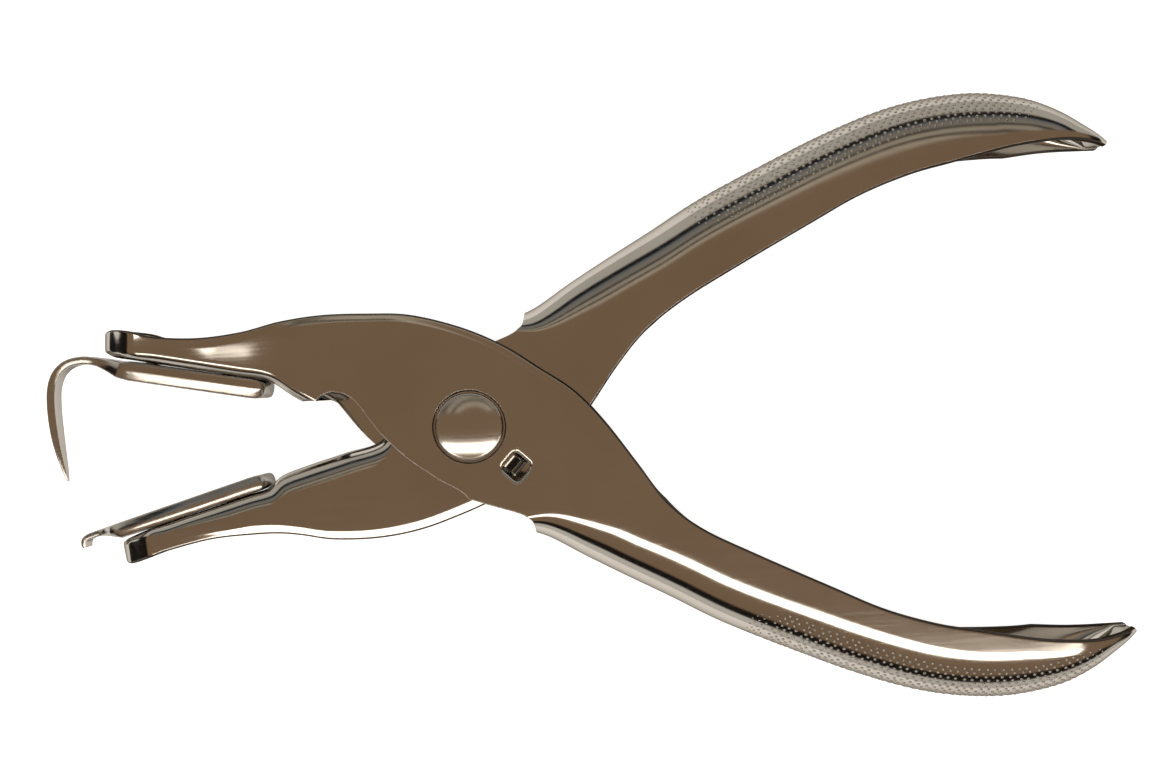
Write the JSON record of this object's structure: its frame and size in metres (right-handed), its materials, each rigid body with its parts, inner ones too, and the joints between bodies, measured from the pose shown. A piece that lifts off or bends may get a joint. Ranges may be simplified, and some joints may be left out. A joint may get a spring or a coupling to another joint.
{
  "type": "plier staple remover",
  "caption": "Plier staple remover in bright nickel-plated pressed steel, with a long hook on one jaw, a thin lifting tongue on the other and knurled handles",
  "frame": {"origin": "On the main rivet's axis, in the plane of the rear face that the tool rests on", "axes": "+X runs from the jaws to the handles along the tool's middle line, +Y points to the upper jaw's side, +Z is the rivet's axis, out of the front plate"},
  "size_m": [0.1679, 0.0946, 0.0131],
  "materials": {
    "nickel_outer": "bright nickel plate on pressed sheet steel, mirror-like with faint scuffs",
    "nickel_inner": "bright nickel plate on pressed sheet steel, mirror-like with faint scuffs",
    "nickel_rivet": "bright nickel-plated domed rivet head",
    "nickel_hook": "bright nickel-plated hardened steel",
    "nickel_tongue": "bright nickel-plated hardened steel",
    "steel_small_rivet": "plain steel rivet, satin",
    "steel_sleeve": "turned steel tube, satin",
    "spring_wire": "drawn spring wire, dark satin"
  },
  "bodies": {
    "outer": {"outer_lever": "nickel_outer", "pivot_rivet": "nickel_rivet", "pivot_sleeve": "steel_sleeve", "return_spring": "spring_wire", "hook_blade": "nickel_hook", "hook_rivet_rear": "steel_small_rivet", "hook_rivet_front": "steel_small_rivet"},
    "inner": {"inner_lever": "nickel_inner", "tongue_blade": "nickel_tongue", "tongue_rivet_rear": "steel_small_rivet", "tongue_rivet_front": "steel_small_rivet"}
  },
  "joints": [
    {"name": "pivot", "type": "hinge", "parent": "outer", "child": "inner", "pos_m": [0, 0, 0.006], "axis": [0, 0, -1], "range_deg": [0, 18.5], "stiffness_Nm_per_rad": 0.5, "springref_deg": -34.38, "deforming": ["return_spring"]}
  ]
}
